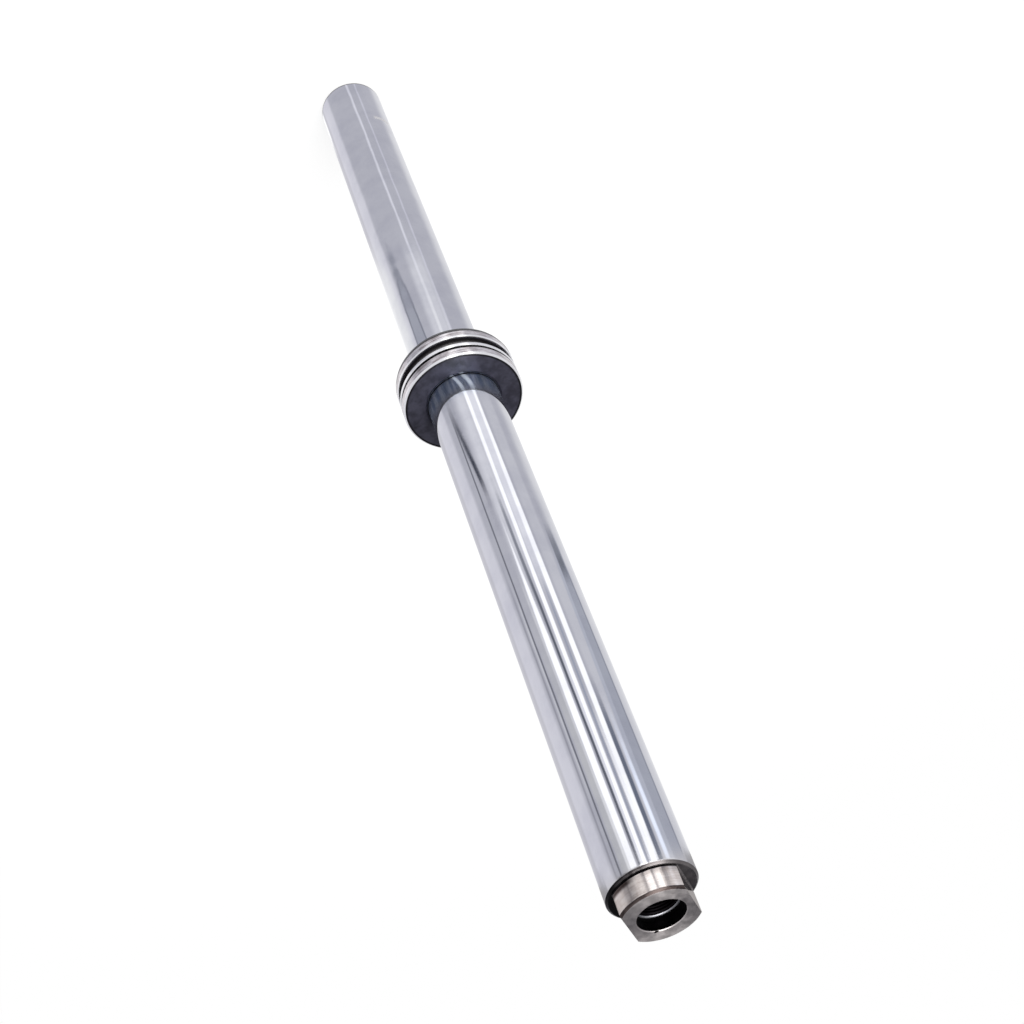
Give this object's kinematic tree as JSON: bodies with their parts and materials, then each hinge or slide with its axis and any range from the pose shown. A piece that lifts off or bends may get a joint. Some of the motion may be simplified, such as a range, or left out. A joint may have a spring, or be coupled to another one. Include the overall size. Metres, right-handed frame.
{
  "type": "hydraulic piston rod",
  "caption": "Straight chrome-plated through-rod with a grooved piston shrunk on at mid-length and a threaded, flatted spigot at one end.",
  "frame": {"origin": "centre of the plain flat end that the rod stands on", "axes": "+Z along the rod, from the plain end up to the spigot; +X square to one of the spigot's two flats"},
  "size_m": [0.0748, 0.0748, 0.735],
  "materials": {
    "chrome_plate": "hard chrome plate, ground and polished; turned bare steel at the spigot",
    "piston_steel": "turned steel, black-oxidised, with the rim lands ground bright"
  },
  "bodies": {
    "root": {"rod": "chrome_plate", "piston": "piston_steel"}
  },
  "joints": []
}
